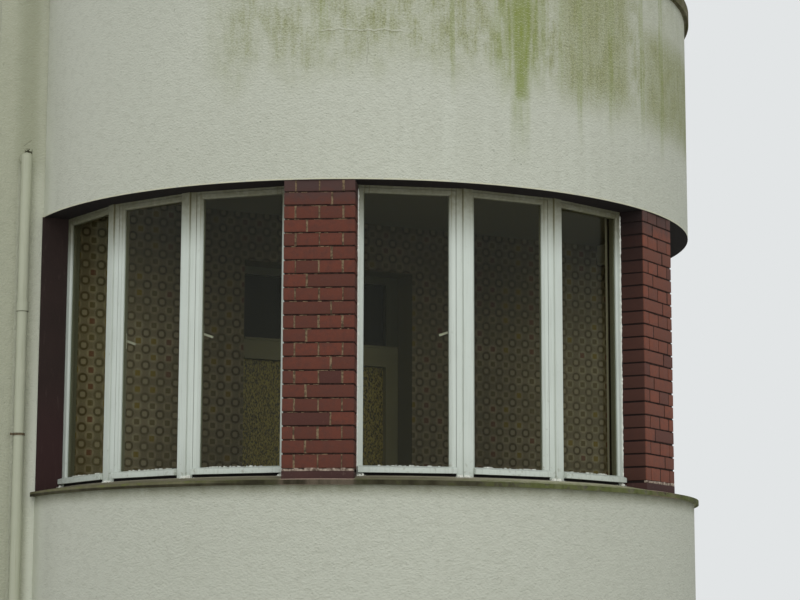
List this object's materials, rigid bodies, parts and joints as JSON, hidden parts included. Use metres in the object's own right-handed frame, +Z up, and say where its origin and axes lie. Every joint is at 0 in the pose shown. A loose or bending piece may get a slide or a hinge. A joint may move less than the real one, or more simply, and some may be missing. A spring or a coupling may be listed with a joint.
{
  "type": "bay window",
  "caption": "Half-round bay with a curved ribbon of casement windows between brick piers, rendered walls below and above, and a terrace parapet.",
  "frame": {"origin": "bottom centre of the bounding box, at ground level; the facade plane lies 0.869 m towards +Y", "axes": "+X to the right seen from outside, -Y outwards in front of the bay, +Z up"},
  "size_m": [4.75, 2.498, 5.48],
  "materials": {
    "rendered_masonry": "rough lime render with old paint, streaked with algae",
    "coping_mortar": "rough mortar, weathered",
    "sill_mortar": "painted mortar, worn and mossy",
    "concrete": "rough",
    "brick": "rough unglazed brick with raked mortar joints",
    "painted_plinth": "worn masonry paint",
    "jamb_paint": "dark masonry paint, matt",
    "window_wood": "white gloss paint, flaking",
    "board_wood": "white paint, satin",
    "screen_wood": "pale grey paint, satin",
    "window_glass": "clear, glossy",
    "screen_glass": "yellowish ornamental glass",
    "handle_metal": "satin",
    "pipe_metal": "wall paint over metal, matt"
  },
  "bodies": {
    "root": {"base_wall_1": "rendered_masonry", "base_wall_2": "rendered_masonry", "base_wall_3": "rendered_masonry", "base_wall_4": "rendered_masonry", "base_wall_5": "rendered_masonry", "brick_pier_left": "brick", "brick_pier_right": "brick", "coping_left": "coping_mortar", "coping_middle": "coping_mortar", "coping_right": "coping_mortar", "downpipe": "pipe_metal", "drip_rails": "window_wood", "floor_slab": "concrete", "house_wall_foot": "rendered_masonry", "house_wall_head": "rendered_masonry", "house_wall_left": "rendered_masonry", "house_wall_right": "rendered_masonry", "jamb_linings": "jamb_paint", "parapet_wall_1": "rendered_masonry", "parapet_wall_2": "rendered_masonry", "parapet_wall_3": "rendered_masonry", "parapet_wall_4": "rendered_masonry", "parapet_wall_5": "rendered_masonry", "pier_plinths": "painted_plinth", "pipe_brackets": "pipe_metal", "sashes_left": "window_wood", "sashes_middle": "window_wood", "sashes_right": "window_wood", "screen_frame": "screen_wood", "screen_glass": "screen_glass", "sill_left": "sill_mortar", "sill_middle": "sill_mortar", "sill_right": "sill_mortar", "terrace_deck": "concrete", "window_boards": "board_wood", "window_frames_left": "window_wood", "window_frames_middle": "window_wood", "window_frames_right": "window_wood", "window_glass": "window_glass", "window_handles": "handle_metal"}
  },
  "joints": []
}
